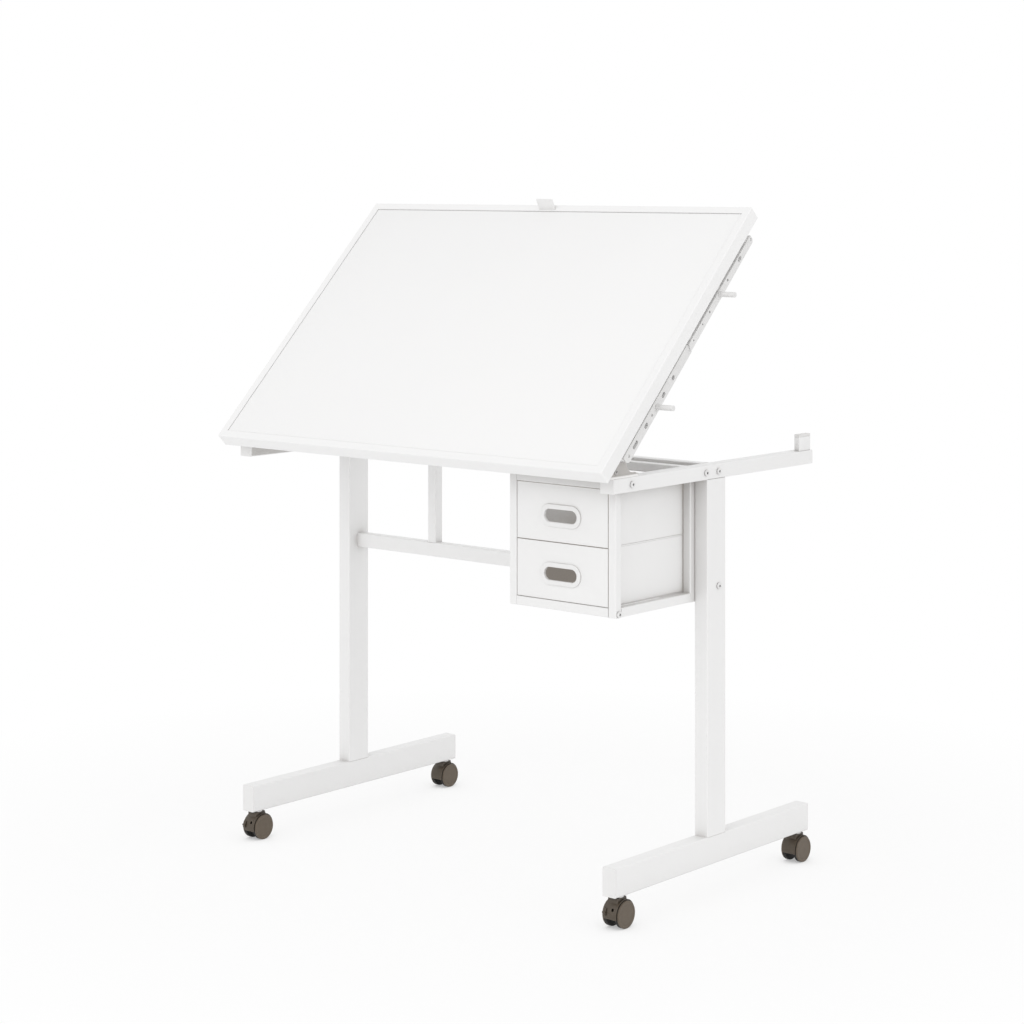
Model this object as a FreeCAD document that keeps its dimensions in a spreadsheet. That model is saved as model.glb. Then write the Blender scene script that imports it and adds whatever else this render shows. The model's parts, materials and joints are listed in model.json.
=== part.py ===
"""Puzzle and drawing table on casters, with a tilting board and two drawers.

Millimetres. X runs to the right as one sits at the table, Y to the back, Z up. The origin is on the floor, under
the middle of the table at rest, with the board tilted. Every length hangs on the spreadsheet "Sizes": the class
Size carries a value together with the expression that gives it, so that arithmetic in this file also writes the
expressions of the document.
"""
import FreeCAD, Part
import math
import os

import Sketcher

DOC = FreeCAD.newDocument("PuzzleTable")
RIGHT, LEFT = 1, -1
FRONT, REAR = -1, 1
SIDE_NAMES = {RIGHT: "right", LEFT: "left"}
END_NAMES = {FRONT: "front", REAR: "rear"}


# ---------------------------------------------------------------- driving dimensions

DIMENSIONS = {
    # legs: feet, posts and side rails share one width
    "frame_width": (890.8, "across the outer faces of the two legs"),
    "tube_width": (28.0, "width of foot, post and side rail"),
    "tube_wall": (1.5, "wall of the frame tubes"),
    "tube_corner": (2.0, "rounding of the tubes' outer edges"),
    "post_setback": (20.0, "middle of the posts behind the origin"),
    "post_depth": (54.0, "post, front to back"),
    "foot_length": (572.0, "foot over its caps"),
    "foot_height": (49.0, "foot tube height"),
    "foot_clearance": (54.5, "floor to the underside of the foot"),
    "rail_length": (593.0, "side rail over its caps"),
    "rail_setback": (4.5, "middle of the side rails behind the middle of the posts"),
    "rail_height": (25.0, "side rail height"),
    "rail_top": (749.0, "floor to the top of the side rails"),
    "cap_flange": (2.5, "visible thickness of a tube cap"),
    "cap_plug": (10.0, "length of a cap inside its tube"),
    "plug_gap": (0.4, "between a tube's wall and what is pushed into its end"),
    # bars between the legs
    "bar_depth": (20.0, "crossbars, front to back"),
    "bar_setback": (5.0, "middle of the crossbars behind the middle of the posts"),
    "low_bar_height": (27.0, "lower crossbar height"),
    "low_bar_top": (550.0, "floor to the top of the lower crossbar"),
    "brace_offset": (-220.0, "middle of the short upright between the crossbars"),
    "insert_length": (14.0, "threaded insert in a crossbar end"),
    # screws
    "screw_radius": (3.0, "shank of the frame screws"),
    "screw_head_radius": (5.25, "head of the frame screws"),
    "screw_head_height": (3.8, "head of the frame screws"),
    "corner_screw_rise": (6.0, "screw in the corner of the cabinet above its underside"),
    "socket_radius": (2.6, "hex socket, across its corners"),
    "socket_depth": (2.8, "hex socket"),
    # board
    "board_width": (914.4, "over the board's frame"),
    "board_length": (610.7, "over the board's frame"),
    "board_tilt": (45.0, "angle of the board at rest, degrees"),
    "rim_width": (15.5, "board frame seen from above"),
    "rim_height": (27.2, "board frame height"),
    "rim_corner": (3.5, "rounding of the board frame's corners, seen from above"),
    "rim_step": (1.5, "panel face below the rim"),
    "panel_thickness": (18.0, "board panel"),
    "panel_gap": (0.3, "between the panel and the rim at the front and on the right"),
    "panel_play": (1.5, "shadow gap at the panel's rear and on its left"),
    "ledge_width": (12.0, "ledge under the panel's front and rear edges"),
    "ledge_thickness": (2.0, "ledge under the panel's front and rear edges"),
    # hinge: pivot measured from the board's front edge and top face
    "pivot_along": (40.0, "pivot behind the board's front edge"),
    "pivot_drop": (46.5, "pivot below the board's top face"),
    "pivot_ahead": (279.4, "pivot ahead of the middle of the posts"),
    "pivot_rise": (11.5, "pivot above the side rails"),
    "bolt_radius": (4.0, "hinge bolt"),
    "bolt_head_radius": (4.8, "hinge bolt head"),
    "bolt_head_height": (2.4, "hinge bolt head"),
    "nut_radius": (6.5, "hinge nut, across its corners"),
    "running_gap": (0.05, "radial play of shafts and bolts in moving parts"),
    "side_gap": (0.2, "play between plates that turn on each other"),
    "bracket_thickness": (3.0, "hinge bracket plate"),
    "bracket_inset": (5.0, "hinge bracket inside the rail's outer face"),
    "bracket_head": (14.5, "radius of the bracket round the pivot"),
    "bracket_reach": (28.0, "upright rear edge of the bracket behind the pivot"),
    "bracket_foot": (57.0, "end of the bracket's foot behind the pivot"),
    "bracket_foot_height": (7.0, "height of the bracket's rear foot"),
    "bracket_fillet": (18.5, "inner corner of the bracket"),
    "bracket_flange": (3.0, "flange of the bracket on the side rail"),
    # arms and rails under the side edges of the board
    "arm_plate": (3.0, "plate of arms and slotted rails"),
    "arm_gap": (6.3, "between the board's frame and the arms, bridged by bosses"),
    "boss_length": (9.0, "boss on an arm, along the board"),
    "arm_outer": (452.5, "outer face of the hinge arm from the middle"),
    "arm_inner_edge": (425.0, "inner edge of the arms' top leg from the middle"),
    "arm_depth": (51.5, "lower edge of the hinge arm below the board's top face"),
    "arm_end": (313.0, "rear end of the hinge arm along the board"),
    "arm_start": (60.0, "front end of the hinge arm's outer plate along the board"),
    "crank_along": (76.0, "where the hinge arm steps inwards"),
    "crank_depth": (43.0, "lower edge of the step below the board's top face"),
    "flange_gap": (3.0, "between the outer plate of an arm and the plate behind it"),
    "slot_rail_depth": (47.0, "lower edge of the slotted rail below the board's top face"),
    "slot_rail_start": (315.0, "front end of the slotted rail along the board"),
    "slot_rail_end": (572.6, "rear end of the slotted rail along the board"),
    "peg_radius": (4.75, "side pegs"),
    "peg_tip": (488.0, "end of the side pegs from the middle"),
    # rest blocks for the board
    "rest_width": (11.0, "rest block, across"),
    "rest_inset": (2.4, "rest block inside the rail's outer face"),
    "rest_setback": (3.5, "rest block ahead of the rail's rear end"),
    "rest_length": (36.0, "rest block, front to back"),
    "rest_height": (25.5, "rest block under its pad"),
    "pad_thickness": (5.0, "pad on the rest block"),
    # clip
    "clip_width": (38.4, "clip on the rear of the board's frame"),
    "clip_middle": (-5.0, "middle of the clip from the middle of the board"),
    "clip_plate": (2.0, "clip plate"),
    "clip_setback": (13.0, "front of the clip ahead of the board's rear edge"),
    "clip_foot": (3.5, "foot of the clip, front to back"),
    "clip_rise": (20.5, "top of the clip above the board's top face"),
    "clip_lean": (6.6, "top of the clip behind its lower edge"),
    # cabinet
    "cabinet_width": (232.9, "drawer cabinet"),
    "cabinet_depth": (226.7, "drawer cabinet"),
    "cabinet_front": (-230.3, "front face of the cabinet"),
    "cabinet_bottom": (510.0, "floor to the cabinet"),
    "cabinet_top": (745.5, "floor to the top of the cabinet"),
    "cabinet_tube": (16.0, "square tube of the cabinet"),
    "cabinet_wall": (1.2, "wall of the cabinet tube"),
    "front_bar_drop": (4.5, "front top bar below the top of the cabinet"),
    "runner_width": (16.0, "drawer runner"),
    "runner_thickness": (2.0, "drawer runner"),
    # drawers
    "front_thickness": (3.5, "drawer front"),
    "front_recess": (0.5, "drawer front behind the cabinet's face"),
    "front_height": (98.0, "drawer front"),
    "drawer_gap": (1.0, "gap round a drawer front"),
    "drawer_pitch": (99.5, "from one drawer to the next"),
    "wall_thickness": (6.0, "drawer sides and back"),
    "wall_height": (92.8, "drawer sides and back"),
    "floor_thickness": (4.0, "drawer bottom"),
    "box_inset": (0.8, "drawer box inside the uprights, each side"),
    "box_back_gap": (2.0, "drawer box ahead of the cabinet's back"),
    "grip_width": (71.5, "finger hole"),
    "grip_height": (22.5, "finger hole"),
    "grip_drop": (4.3, "finger hole below the middle of the front"),
    "grip_aside": (2.0, "finger hole left of the middle of the front"),
    "grip_lip": (8.0, "rim of the grip ring on the front"),
    "grip_lip_thickness": (2.5, "rim of the grip ring on the front"),
    "grip_wall": (2.0, "grip ring inside the hole"),
    # casters
    "caster_spacing": (528.0, "between the front and rear casters"),
    "caster_trail": (4.0, "axle behind the stem"),
    "wheel_radius": (23.0, "caster wheel"),
    "caster_half_width": (17.5, "outer face of a wheel from the caster's middle"),
    "wheel_inner_face": (8.5, "inner face of a wheel from the caster's middle"),
    "wheel_cap": (3.4, "outer disc of a wheel beyond its tread"),
    "axle_radius": (3.0, "caster axle"),
    "hood_gap": (1.0, "between hood and tread"),
    "hood_wall": (1.4, "wall of the hood"),
    "stem_radius": (5.0, "caster stem in the foot"),
    "stem_length": (28.0, "caster stem in the foot"),
    "spigot_radius": (4.0, "caster stem in the hood"),
    "collar_radius": (11.0, "caster stem's collar"),
    "collar_height": (2.5, "caster stem's collar"),
    "neck_width": (20.0, "neck of the hood"),
    "neck_depth": (24.0, "neck of the hood"),
}


class Size:
    """A length with its value and the spreadsheet expression that gives it."""

    def __init__(self, value, text):
        self.value = value
        self.text = text

    def __add__(self, other):
        other = size(other)
        return Size(self.value + other.value, f"({self.text} + {other.text})")

    def __sub__(self, other):
        other = size(other)
        return Size(self.value - other.value, f"({self.text} - {other.text})")

    def __mul__(self, other):
        other = size(other)
        return Size(self.value * other.value, f"({self.text} * {other.text})")

    def __truediv__(self, other):
        other = size(other)
        return Size(self.value / other.value, f"({self.text} / {other.text})")

    def __radd__(self, other):
        return size(other) + self

    def __rsub__(self, other):
        return size(other) - self

    def __rmul__(self, other):
        return size(other) * self

    def __neg__(self):
        return Size(-self.value, f"(0 - {self.text})")


def size(thing):
    """The thing as a Size; a plain number stands for itself."""
    if isinstance(thing, Size):
        return thing
    return Size(float(thing), f"({float(thing)})")


def sine(angle):
    return Size(math.sin(math.radians(angle.value)), f"sin({angle.text})")


def cosine(angle):
    return Size(math.cos(math.radians(angle.value)), f"cos({angle.text})")


def make_sheet():
    """The spreadsheet with one row for each driving dimension, and a Size for each of its aliases."""
    sheet = DOC.addObject("Spreadsheet::Sheet", "Sizes")
    sizes = {}
    for row, (alias, (value, note)) in enumerate(DIMENSIONS.items(), start=1):
        sheet.set(f"A{row}", alias)
        sheet.set(f"B{row}", str(value))
        sheet.set(f"C{row}", note)
        sheet.setAlias(f"B{row}", alias)
        sizes[alias] = Size(value, f"Sizes.{alias}")
    DOC.recompute()
    return sizes


class Named:
    """The driving dimensions as attributes."""

    def __init__(self, sizes):
        self.__dict__.update(sizes)


D = Named(make_sheet())


# ---------------------------------------------------------------- tools of the document

AXIS_TURNS = {
    # local z along the named axis; local x and y follow in turn
    "X": FreeCAD.Rotation(FreeCAD.Vector(0, 1, 0), FreeCAD.Vector(0, 0, 1), FreeCAD.Vector(1, 0, 0)),
    "Y": FreeCAD.Rotation(FreeCAD.Vector(0, 0, 1), FreeCAD.Vector(1, 0, 0), FreeCAD.Vector(0, 1, 0)),
    "Z": FreeCAD.Rotation(),
}


def bind(thing, prop, length):
    """Ties a property to the expression of a Size."""
    thing.setExpression(prop, size(length).text)


def place(thing, x=0, y=0, z=0, turn=None):
    """Puts a thing at a position, turned by a rotation."""
    thing.Placement = FreeCAD.Placement(FreeCAD.Vector(), turn or FreeCAD.Rotation())
    for letter, length in zip("xyz", (x, y, z)):
        bind(thing, f"Placement.Base.{letter}", length)
    return thing


def new_body(label):
    body = DOC.addObject("PartDesign::Body", label)
    body.Label = label
    return body


def new_sketch(body, role, offset=0):
    """A sketch on one of the body's origin planes, moved along the plane's normal."""
    plane = next(item for item in body.Origin.OriginFeatures if item.Role == role)
    sketch = body.newObject("Sketcher::SketchObject", "Sketch")
    sketch.AttachmentSupport = [(plane, "")]
    sketch.MapMode = "FlatFace"
    bind(sketch, "AttachmentOffset.Base.z", offset)
    return sketch


def hold(sketch, kind, elements, length):
    """A constraint whose length follows the expression of a Size."""
    index = sketch.addConstraint(Sketcher.Constraint(kind, *elements, length.value))
    sketch.setExpression(f"Constraints[{index}]", length.text)


def fix_point(sketch, element, corner, point):
    """Holds one point of an element at a distance from the sketch's origin."""
    hold(sketch, "DistanceX", (-1, 1, element, corner), size(point[0]))
    hold(sketch, "DistanceY", (-1, 1, element, corner), size(point[1]))


def add_outline(sketch, corners):
    """A closed outline. A corner is (x, y), or (x, y, radius) where an arc of that radius leads to it from the
    corner before; a positive radius turns left, a negative one right."""
    points = [(size(corner[0]), size(corner[1])) for corner in corners]
    for index, corner in enumerate(corners):
        start, end = points[index - 1], points[index]
        from_point = FreeCAD.Vector(start[0].value, start[1].value, 0)
        to_point = FreeCAD.Vector(end[0].value, end[1].value, 0)
        if len(corner) == 2:
            element = sketch.addGeometry(Part.LineSegment(from_point, to_point))
            first, last = 1, 2
        else:
            radius = size(corner[2])
            element = sketch.addGeometry(short_arc(from_point, to_point, radius.value))
            first, last = (1, 2) if radius.value > 0 else (2, 1)
            if (to_point - from_point).Length > 1.999 * abs(radius.value):
                # half a turn: both ends give the radius, and the centre lies between them
                hold(sketch, "DistanceX", (-1, 1, element, 3), start[0])
            else:
                hold(sketch, "Radius", (element,), radius if radius.value > 0 else -radius)
        fix_point(sketch, element, first, start)
        fix_point(sketch, element, last, end)


def short_arc(start, end, radius):
    """The arc of up to half a turn from start to end; it turns left for a positive radius."""
    middle = (start + end) / 2
    half = (end - start).Length / 2
    reach = math.sqrt(max(radius * radius - half * half, 0.0))
    across = FreeCAD.Vector(start.y - end.y, end.x - start.x, 0).normalize()
    centre = middle + across * math.copysign(reach, radius)
    angles = [math.atan2(point.y - centre.y, point.x - centre.x) for point in (start, end)]
    if radius < 0:
        angles.reverse()
    circle = Part.Circle(centre, FreeCAD.Vector(0, 0, 1), abs(radius))
    return Part.ArcOfCircle(circle, angles[0], angles[1])


def add_rectangle(sketch, x, y, width, height):
    """A rectangle from its lower left corner."""
    x, y, width, height = size(x), size(y), size(width), size(height)
    add_outline(sketch, [(x, y), (x + width, y), (x + width, y + height), (x, y + height)])


def add_rounded(sketch, x, y, width, height, radius):
    """A rectangle with rounded corners, from its lower left corner."""
    x, y, width, height, radius = size(x), size(y), size(width), size(height), size(radius)
    right, top = x + width, y + height
    add_outline(sketch, [
        (x + radius, y, radius),
        (right - radius, y),
        (right, y + radius, radius),
        (right, top - radius),
        (right - radius, top, radius),
        (x + radius, top),
        (x, top - radius, radius),
        (x, y + radius),
    ])


def add_tube_section(sketch, x, y, width, height, wall):
    """The section of a tube with rounded edges, from its lower left corner."""
    width, height, wall = size(width), size(height), size(wall)
    add_rounded(sketch, x, y, width, height, D.tube_corner)
    add_rounded(sketch, x + wall, y + wall, width - 2 * wall, height - 2 * wall, D.tube_corner - wall)


def add_slot(sketch, x, y, length, height):
    """A level slot with round ends about its middle."""
    x, y, length, radius = size(x), size(y), size(length), size(height) / 2
    reach = length / 2 - radius
    add_outline(sketch, [
        (x - reach, y - radius, radius),
        (x + reach, y - radius),
        (x + reach, y + radius, radius),
        (x - reach, y + radius),
    ])


def add_circle(sketch, x, y, radius):
    radius = size(radius)
    centre = FreeCAD.Vector(size(x).value, size(y).value, 0)
    element = sketch.addGeometry(Part.Circle(centre, FreeCAD.Vector(0, 0, 1), radius.value))
    hold(sketch, "Radius", (element,), radius)
    fix_point(sketch, element, 3, (x, y))


def pad(body, sketch, length):
    """Fills a sketch along its normal."""
    feature = body.newObject("PartDesign::Pad", "Pad")
    feature.Profile = sketch
    bind(feature, "Length", length)
    sketch.Visibility = False
    DOC.recompute()
    return feature


def pocket(body, sketch, length):
    """Cuts a sketch along its normal; the cut has to take something away."""
    before = body.Shape.Volume
    feature = body.newObject("PartDesign::Pocket", "Pocket")
    feature.Profile = sketch
    feature.Reversed = True
    bind(feature, "Length", length)
    sketch.Visibility = False
    DOC.recompute()
    if not body.Shape.Volume < before - 1e-3:
        raise RuntimeError(f"{body.Label}: a pocket cuts nothing")
    return feature


def revolve(body, sketch):
    """Turns a sketch on the XZ plane about the body's Z axis."""
    feature = body.newObject("PartDesign::Revolution", "Revolution")
    feature.Profile = sketch
    feature.ReferenceAxis = (sketch, ["V_Axis"])
    feature.Angle = 360
    sketch.Visibility = False
    DOC.recompute()
    return feature


def tube(label, axis, across, length, wall, x, y, z):
    """A rectangular tube whose axis starts at x, y, z. across holds its two outer sizes, in the order of the axes
    that follow its own: Y and Z for one along X, Z and X for one along Y, X and Y for one along Z."""
    body = new_body(label)
    width, height = size(across[0]), size(across[1])
    sketch = new_sketch(body, "XY_Plane")
    add_tube_section(sketch, -width / 2, -height / 2, width, height, wall)
    pad(body, sketch, length)
    return place(body, x, y, z, AXIS_TURNS[axis])


def drill_tube(body, role, holes, start, length, radius):
    """Round holes across a tube, from a start along the plane's normal; holes are points of that plane."""
    sketch = new_sketch(body, role, start)
    for x, y in holes:
        add_circle(sketch, x, y, radius)
    pocket(body, sketch, length)


def box(name, width, depth, height, x, y, z):
    """A box from its lowest corner."""
    part = DOC.addObject("Part::Box", name)
    for prop, length in zip(("Length", "Width", "Height"), (width, depth, height)):
        bind(part, prop, length)
    return place(part, x, y, z)


def cylinder(name, axis, radius, length, x, y, z):
    """A cylinder whose axis starts at x, y, z."""
    part = DOC.addObject("Part::Cylinder", name)
    bind(part, "Radius", radius)
    bind(part, "Height", length)
    return place(part, x, y, z, AXIS_TURNS[axis])


def prism(name, axis, sides, radius, length, x, y, z):
    """A regular prism whose axis starts at x, y, z."""
    part = DOC.addObject("Part::Prism", name)
    part.Polygon = sides
    bind(part, "Circumradius", radius)
    bind(part, "Height", length)
    return place(part, x, y, z, AXIS_TURNS[axis])


def fuse(name, parts):
    whole = DOC.addObject("Part::MultiFuse", name)
    whole.Shapes = parts
    return whole


def common(name, parts):
    whole = DOC.addObject("Part::MultiCommon", name)
    whole.Shapes = parts
    return whole


def cut(name, base, tools):
    """The base without the tools."""
    whole = DOC.addObject("Part::Cut", name)
    whole.Base = base
    whole.Tool = tools[0] if len(tools) == 1 else fuse(f"{name}_tools", tools)
    return whole


def group(label, parts):
    """One sub-part made of several separate solids."""
    whole = DOC.addObject("Part::Compound", label)
    whole.Links = parts
    return finish_part(whole, label)


SUB_PARTS = []


def finish_part(part, label=None):
    """Adds a finished sub-part to those that are written."""
    if label:
        part.Label = label
    SUB_PARTS.append(part)
    return part


# ---------------------------------------------------------------- places worked out from the dimensions

OUTER = D.frame_width / 2
INNER = OUTER - D.tube_width
LEG_MIDDLE = OUTER - D.tube_width / 2
FOOT_TOP = D.foot_clearance + D.foot_height
RAIL_BOTTOM = D.rail_top - D.rail_height
RAIL_MIDDLE = D.rail_top - D.rail_height / 2
RAIL_Y = D.post_setback + D.rail_setback
BAR_Y = D.post_setback + D.bar_setback
LOW_BAR_MIDDLE = D.low_bar_top - D.low_bar_height / 2
BAR_SCREW_LENGTH = D.tube_width + D.insert_length - 2

CABINET_LEFT = INNER - D.cabinet_width
CABINET_BACK = D.cabinet_front + D.cabinet_depth
UPRIGHT_FRONT_Y = D.cabinet_front + D.cabinet_tube / 2
UPRIGHT_REAR_Y = CABINET_BACK - D.cabinet_tube / 2
BAY_LEFT = CABINET_LEFT + D.cabinet_tube
BAY_RIGHT = INNER - D.cabinet_tube
BAY_BOTTOM = D.cabinet_bottom + D.cabinet_tube
FRONT_Y = D.cabinet_front + D.front_recess

PIVOT_Y = D.post_setback - D.pivot_ahead
PIVOT_Z = D.rail_top + D.pivot_rise
TILT_COS = cosine(D.board_tilt)
TILT_SIN = sine(D.board_tilt)
BOARD_Y = PIVOT_Y - D.pivot_along * TILT_COS - D.pivot_drop * TILT_SIN
BOARD_Z = PIVOT_Z - D.pivot_along * TILT_SIN + D.pivot_drop * TILT_COS
RIM_BOTTOM = -D.rim_height
ARM_TOP = RIM_BOTTOM - D.arm_gap
ARM_INSIDE = D.arm_outer - D.arm_plate
BOSS_INSIDE = D.board_width / 2 - D.rim_width + D.tube_corner
BRACKET_OUTSIDE = OUTER - D.bracket_inset
BRACKET_INSIDE = BRACKET_OUTSIDE - D.bracket_thickness
TAB_INSIDE = BRACKET_INSIDE - D.side_gap - D.arm_plate


# ---------------------------------------------------------------- legs and crossbars

def make_foot(side):
    """Foot tube, open at both ends for its caps, with a hole for each caster stem in its underside."""
    length = D.foot_length - 2 * D.cap_flange
    foot = tube(f"foot_{SIDE_NAMES[side]}", "Y", (D.foot_height, D.tube_width), length, D.tube_wall,
                side * LEG_MIDDLE, D.post_setback - length / 2, D.foot_clearance + D.foot_height / 2)
    stems = [(0, length / 2 + end * D.caster_spacing / 2) for end in (FRONT, REAR)]
    # local x points up and local y across: the YZ plane looks along x, its points are (y, z)
    drill_tube(foot, "YZ_Plane", stems, -D.foot_height / 2 - 1, D.tube_wall + 2, D.stem_radius)
    finish_part(foot)


def make_post(side):
    """Post tube from the foot to the side rail, with a hole across it for the lower crossbar's screw."""
    post = tube(f"post_{SIDE_NAMES[side]}", "Z", (D.tube_width, D.post_depth), RAIL_BOTTOM - FOOT_TOP,
                D.tube_wall, side * LEG_MIDDLE, D.post_setback, FOOT_TOP)
    drill_tube(post, "YZ_Plane", [(D.bar_setback, LOW_BAR_MIDDLE - FOOT_TOP)], -D.tube_width / 2 - 1,
               D.tube_width + 2, D.screw_radius)
    finish_part(post)


def rail_screws(side):
    """Y and length of the screws in a side rail: the crossbar's, and on the right those of the cabinet."""
    crossbar = [(BAR_Y, BAR_SCREW_LENGTH)]
    cabinet = [(y, D.tube_width + D.cabinet_wall + 4) for y in (UPRIGHT_FRONT_Y, UPRIGHT_REAR_Y)]
    return cabinet + crossbar if side == RIGHT else crossbar


def make_side_rail(side):
    """Side rail on top of the post."""
    length = D.rail_length - 2 * D.cap_flange
    start = RAIL_Y - length / 2
    rail = tube(f"side_rail_{SIDE_NAMES[side]}", "Y", (D.rail_height, D.tube_width), length, D.tube_wall,
                side * LEG_MIDDLE, start, RAIL_MIDDLE)
    # the XZ plane looks along -y, so the holes start at the far face
    holes = [(0, y - start) for y, _ in rail_screws(side)]
    drill_tube(rail, "XZ_Plane", holes, -D.tube_width / 2 - 1, D.tube_width + 2, D.screw_radius)
    finish_part(rail)


def make_caps():
    """Caps that close the ends of the feet and the side rails."""
    caps = []
    tubes = ((D.foot_length, D.post_setback, D.foot_clearance, D.foot_height),
             (D.rail_length, RAIL_Y, RAIL_BOTTOM, D.rail_height))
    for side in (RIGHT, LEFT):
        for length, middle, bottom, height in tubes:
            for end in (FRONT, REAR):
                caps.append(make_cap(side * LEG_MIDDLE, middle + end * length / 2, bottom, height, end))
    group("tube_end_caps", caps)


def make_cap(x, end_y, bottom, height, end):
    """One cap: a flange over the tube's end and a plug inside it."""
    cap = new_body("cap")
    flange_back = end_y + D.cap_flange if end == FRONT else end_y
    plug_back = flange_back + D.cap_plug if end == FRONT else end_y - D.cap_flange
    # the XZ plane looks along -y, so a pad grows forwards from its back
    flange = new_sketch(cap, "XZ_Plane", -flange_back)
    add_rounded(flange, x - D.tube_width / 2, bottom, D.tube_width, height, D.tube_corner)
    pad(cap, flange, D.cap_flange)
    inset = D.tube_wall + D.plug_gap
    plug = new_sketch(cap, "XZ_Plane", -plug_back)
    add_rectangle(plug, x - D.tube_width / 2 + inset, bottom + inset,
                  D.tube_width - 2 * inset, height - 2 * inset)
    pad(cap, plug, D.cap_plug)
    return cap


def make_crossbars():
    """Crossbars between the legs, and the short upright between them."""
    finish_part(tube("upper_crossbar", "X", (D.bar_depth, D.rail_height), 2 * INNER, D.tube_wall,
                     -INNER, BAR_Y, RAIL_MIDDLE))
    finish_part(tube("lower_crossbar", "X", (D.bar_depth, D.low_bar_height), 2 * INNER, D.tube_wall,
                     -INNER, BAR_Y, LOW_BAR_MIDDLE))
    finish_part(tube("brace_tube", "Z", (D.bar_depth, D.bar_depth), RAIL_BOTTOM - D.low_bar_top, D.tube_wall,
                     D.brace_offset, BAR_Y, D.low_bar_top))


def make_bar_inserts():
    """Threaded inserts in the ends of the crossbars."""
    inserts = []
    inset = D.tube_wall + D.plug_gap
    depth = D.bar_depth - 2 * inset
    for middle, height in ((RAIL_MIDDLE, D.rail_height), (LOW_BAR_MIDDLE, D.low_bar_height)):
        tall = height - 2 * inset
        for side in (RIGHT, LEFT):
            x = INNER - D.insert_length if side == RIGHT else -INNER
            block = box("insert", D.insert_length, depth, tall, x, BAR_Y - depth / 2, middle - tall / 2)
            bore = cylinder("bore", "X", D.screw_radius, D.insert_length + 2, x - 1, BAR_Y, middle)
            inserts.append(cut("threaded_insert", block, [bore]))
    group("bar_inserts", inserts)


def make_screw(side, face, y, z, length):
    """Screw whose head sits on the outer face at x = face and whose shank points to the middle."""
    head_x = face if side == RIGHT else face - D.screw_head_height
    shank_x = face - length if side == RIGHT else face
    socket_x = face + D.screw_head_height - D.socket_depth if side == RIGHT else face - D.screw_head_height
    head = cylinder("head", "X", D.screw_head_radius, D.screw_head_height, head_x, y, z)
    shank = cylinder("shank", "X", D.screw_radius, length, shank_x, y, z)
    socket = prism("socket", "X", 6, D.socket_radius, D.socket_depth, socket_x, y, z)
    return cut("screw", fuse("blank", [head, shank]), [socket])


def make_frame_screws():
    """Screws through the side rails and the posts, and the one in the lower front corner of the cabinet."""
    screws = []
    for side in (RIGHT, LEFT):
        screws += [make_screw(side, side * OUTER, y, RAIL_MIDDLE, length) for y, length in rail_screws(side)]
        screws.append(make_screw(side, side * OUTER, BAR_Y, LOW_BAR_MIDDLE, BAR_SCREW_LENGTH))
    corner_z = D.cabinet_bottom + D.corner_screw_rise
    screws.append(make_screw(RIGHT, INNER, UPRIGHT_FRONT_Y, corner_z, D.cabinet_tube - 4))
    group("frame_screws", screws)


def make_rests():
    """Blocks at the rear ends of the side rails, with pads, on which the level board rests."""
    rear = RAIL_Y + D.rail_length / 2 - D.rest_setback
    blocks, pads = [], []
    for side in (RIGHT, LEFT):
        near = OUTER - D.rest_inset - D.rest_width
        x = near if side == RIGHT else -near - D.rest_width
        front = rear - D.rest_length
        block_top = D.rail_top + D.rest_height
        blocks.append(box("block", D.rest_width, D.rest_length, D.rest_height, x, front, D.rail_top))
        pads.append(box("pad", D.rest_width, D.rest_length, D.pad_thickness, x, front, block_top))
    group("rest_blocks", blocks)
    group("rest_pads", pads)


# ---------------------------------------------------------------- hinge

def bracket_outline():
    """Outline of the hinge bracket about the pivot: head, hollow rear edge, foot."""
    floor = -D.pivot_rise
    foot_top = floor + D.bracket_foot_height
    head, fillet, reach = D.bracket_head, D.bracket_fillet, D.bracket_reach
    toe = 5.0
    return [
        (-head - 3, floor),
        (D.bracket_foot, floor),
        (D.bracket_foot, foot_top - toe),
        (D.bracket_foot - toe, foot_top, toe),
        (reach + fillet, foot_top),
        (reach, foot_top + fillet, -fillet),
        (reach, head),
        (0, head),
        (-head, 0, head),
    ]


def make_hinge_brackets():
    """Angle plates on the side rails that carry the hinge bolts."""
    brackets = []
    for side in (RIGHT, LEFT):
        bracket = new_body("bracket")
        inner_face = BRACKET_INSIDE if side == RIGHT else -BRACKET_OUTSIDE
        sketch = new_sketch(bracket, "YZ_Plane")
        add_outline(sketch, bracket_outline())
        add_circle(sketch, 0, 0, D.bolt_radius)
        pad(bracket, sketch, D.bracket_thickness)
        # the flange runs from the plate to the flat of the rail's outer edge
        width = D.bracket_inset - D.tube_corner
        flange = new_sketch(bracket, "YZ_Plane", D.bracket_thickness if side == RIGHT else -width)
        add_rectangle(flange, -D.bracket_head - 3, -D.pivot_rise, D.bracket_head + 3 + D.bracket_foot,
                      D.bracket_flange)
        pad(bracket, flange, width)
        brackets.append(place(bracket, inner_face, PIVOT_Y, PIVOT_Z))
    group("hinge_brackets", brackets)


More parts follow.
